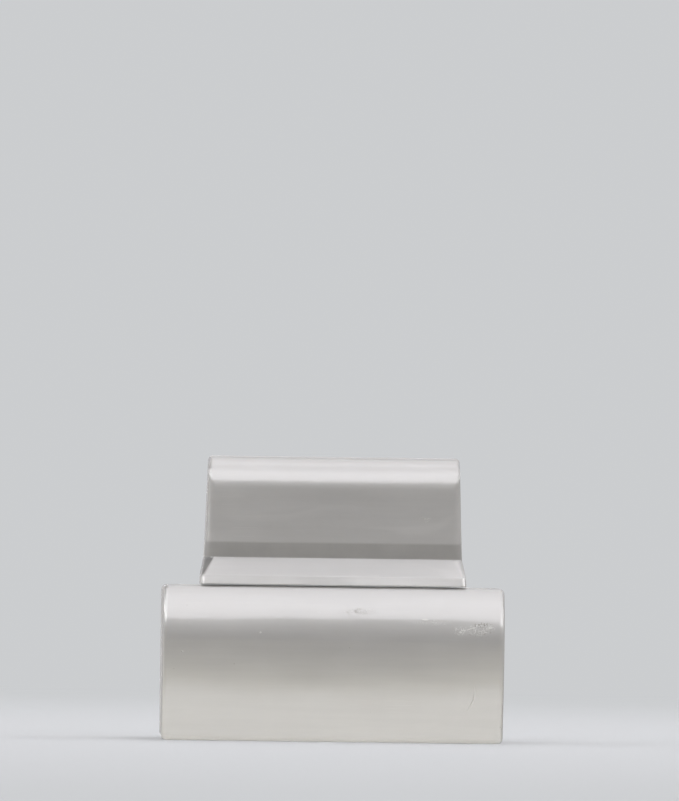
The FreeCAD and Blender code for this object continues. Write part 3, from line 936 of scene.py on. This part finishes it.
class Studio(Nodes):
    """The world's node tree, with ray directions to work from."""

    def __init__(self, tree):
        super().__init__(tree)
        self.out = self.new("OutputWorld")
        self.x, self.y, self.z = self.split(self.new("TexCoord").outputs["Generated"])
        self.elevation = self.mul(self.math("ARCSINE", self.z), 180.0 / math.pi)
        # the softbox plane as seen from the object: right, and towards the front
        height = self.max(self.z, 0.02)
        self.right = self.div(self.x, height)
        self.front = self.div(self.mul(self.y, -1.0), height)

    def leftward(self):
        return self.mul(self.x, -1.0)

    def sum(self, first, second):
        return self.new("VectorMath", {0: first, 1: second}, operation="ADD").outputs[0]

    def shade(self, colour):
        return self.new("Background", {0: colour}).outputs[0]

    def by_elevation(self, angle, stops):
        place = self.add(self.mul(angle, 1.0 / 180.0), 0.5)
        node = self.new("ValToRGB", {0: place})
        ramp = node.color_ramp
        ramp.interpolation = "LINEAR"
        colours = [tuple(level * part for part in tint) for _, level, tint in stops]
        peak = max(max(colour) for colour in colours)
        while len(ramp.elements) < len(stops):
            ramp.elements.new(0.5)
        for element, stop, colour in zip(ramp.elements, stops, colours):
            element.position = (stop[0] + 90.0) / 180.0
            element.color = tuple(part / peak for part in colour) + (1.0,)
        return self.tint(node.outputs[0], peak)

    def softbox(self):
        """The overhead box: its outline times a brightness that grows to the front."""
        ramp, mul, add, right, front = self.ramp, self.mul, self.add, self.right, self.front
        left_edge = self.max(ramp(right, (-0.14, -0.08)),
                             mul(ramp(front, (0.02, 0.27)), ramp(right, (-3.0, -1.5))))
        inside = mul(left_edge, ramp(right, (2.2, 4.5), to=(1.0, 0.0)))
        inside = mul(inside, mul(ramp(front, (1.71, 1.84), to=(1.0, 0.0)),
                                 ramp(front, (1.15, 1.68), to=(1.0, 0.86))))
        inside = mul(inside, ramp(self.z, (0.05, 0.2)))
        lamp = add(ramp(front, (-1.3, -0.50), to=(0.2, 2.2)),
                   ramp(front, (-0.50, -0.15), to=(0.0, 3.0)))
        lamp = add(lamp, ramp(front, (-0.01, 0.68), to=(0.0, 5.2)))
        lamp = add(lamp, mul(ramp(right, (-0.20, -0.02), to=(1.0, 0.0)), 1.8))
        return self.tint(COOL, mul(lamp, inside))

    def glossy(self):
        ramp, mul, add, elevation = self.ramp, self.mul, self.add, self.elevation
        box = self.softbox()
        card_level = ramp(self.y, (0.05, 0.35), to=(1.0, 0.12))
        # light from the left and a little from the right, dimmed above and below
        side = mul(ramp(self.y, (-0.75, 0.25), to=(0.0, 2.0)),
                   ramp(self.y, (0.20, 0.70), to=(1.0, 0.12)))
        side = mul(side, ramp(self.leftward(), (0.05, 0.30)))
        side = add(side, ramp(self.x, (0.4, 0.9), to=(0.0, 0.3)))
        # a raised band on the left
        wall = mul(mul(ramp(self.leftward(), (0.22, 0.42)),
                       ramp(self.y, (0.30, 0.50), to=(1.0, 0.0))),
                   mul(ramp(elevation, (20.0, 28.0)),
                       ramp(elevation, (36.0, 43.0), to=(1.0, 0.0))))
        # what shows at the grazing silhouettes: a dim pale room behind the object
        behind = mul(ramp(self.y, (0.50, 0.95)),
                     ramp(self.leftward(), (-0.1, 0.1), to=(0.30, 0.42)))
        behind = mul(behind, ramp(elevation, (8.0, 28.0), to=(1.0, 0.2)))
        belt = mul(side, ramp(self.math("ABSOLUTE", elevation), (22.0, 42.0), to=(1.0, 0.12)))
        # the card is stretched a little and moved up
        card = self.by_elevation(self.sub(mul(elevation, 1.033), 3.3), CARD_STOPS)
        light = self.sum(self.sum(self.tint(card, card_level), box), self.tint(BELT, belt))
        return self.shade(self.sum(light, self.tint(COOL, add(mul(wall, 2.8), behind))))

    def diffuse(self):
        """A soft dome with a strip overhead, towards the back."""
        strip = self.mul(self.ramp(self.front, (-1.05, -0.65)),
                         self.ramp(self.front, (-0.02, 0.12), to=(1.0, 0.0)))
        strip = self.mul(strip, self.ramp(self.z, (0.1, 0.3)))
        dome = self.by_elevation(self.elevation, DOME_STOPS)
        return self.shade(self.sum(dome, self.tint(COOL, self.mul(strip, 1.00))))


def build_world():
    world = bpy.data.worlds.new("studio")
    bpy.context.scene.world = world
    world.use_nodes = True
    world.cycles.sampling_method = "NONE"
    studio = Studio(world.node_tree)
    glossy, diffuse, seen = studio.glossy(), studio.diffuse(), studio.shade(BACKDROP)
    rays = studio.new("LightPath").outputs
    unseen = studio.new("MixShader", {0: rays["Is Glossy Ray"], 1: diffuse, 2: glossy})
    final = studio.new("MixShader", {0: rays["Is Camera Ray"], 1: unseen.outputs[0], 2: seen})
    studio.put(studio.out.inputs[0], final.outputs[0])


def build_key_light():
    """A broad softbox above and a little behind gives the floor shadow its direction."""
    light = bpy.data.lights.new("softbox", "AREA")
    light.shape = "RECTANGLE"
    light.size, light.size_y = 0.9, 0.6
    light.energy = 1.7
    light.color = (1.0, 0.99, 0.98)
    lamp = bpy.data.objects.new("softbox", light)
    bpy.context.scene.collection.objects.link(lamp)
    lamp.location = (0.14, 0.40, 1.00)
    target = Vector((0, 0, 0.03))
    lamp.rotation_euler = (target - lamp.location).to_track_quat("-Z", "Y").to_euler()
    lamp.visible_glossy = False
    lamp.visible_camera = False


build_world()
build_key_light()


# ---------------------------------------------------------------------------
# camera: level with the seam and pitched up a little, so the object sits low
# ---------------------------------------------------------------------------
CAMERA_DISTANCE = 2.40          # from the front of the wet half
FRONT_DEPTH = 0.020             # from that front to the origin
CAMERA_HEIGHT = 0.044
CAMERA_SHIFT = 0.0012446        # to the right
AIM_HEIGHT = 0.0817367          # height of the view's centre at CAMERA_DISTANCE
FOCAL_LENGTH = 450.66594        # mm
YAW, ROLL = math.radians(1.6), math.radians(0.75)


def build_camera():
    scene = bpy.context.scene
    lens = bpy.data.cameras.new("camera")
    lens.sensor_fit = "AUTO"
    lens.sensor_width = 36.0
    lens.lens = FOCAL_LENGTH
    lens.clip_start, lens.clip_end = 0.05, 20.0
    camera = bpy.data.objects.new("camera", lens)
    scene.collection.objects.link(camera)
    pitch = math.atan((AIM_HEIGHT - CAMERA_HEIGHT) / CAMERA_DISTANCE)
    ahead = Vector((math.sin(YAW), math.cos(YAW), 0.0))
    right = Vector((math.cos(YAW), -math.sin(YAW), 0.0))
    spot = ahead * -(CAMERA_DISTANCE + FRONT_DEPTH) + right * CAMERA_SHIFT
    spot.z = CAMERA_HEIGHT
    camera.location = spot
    view = ahead * math.cos(pitch) + Vector((0, 0, math.sin(pitch)))
    basis = Matrix((right, right.cross(view), -view)).transposed()
    camera.rotation_euler = (basis @ Matrix.Rotation(ROLL, 3, "Z")).to_euler()
    scene.camera = camera
    scene.view_settings.view_transform = "Standard"
    scene.view_settings.look = "None"


build_camera()
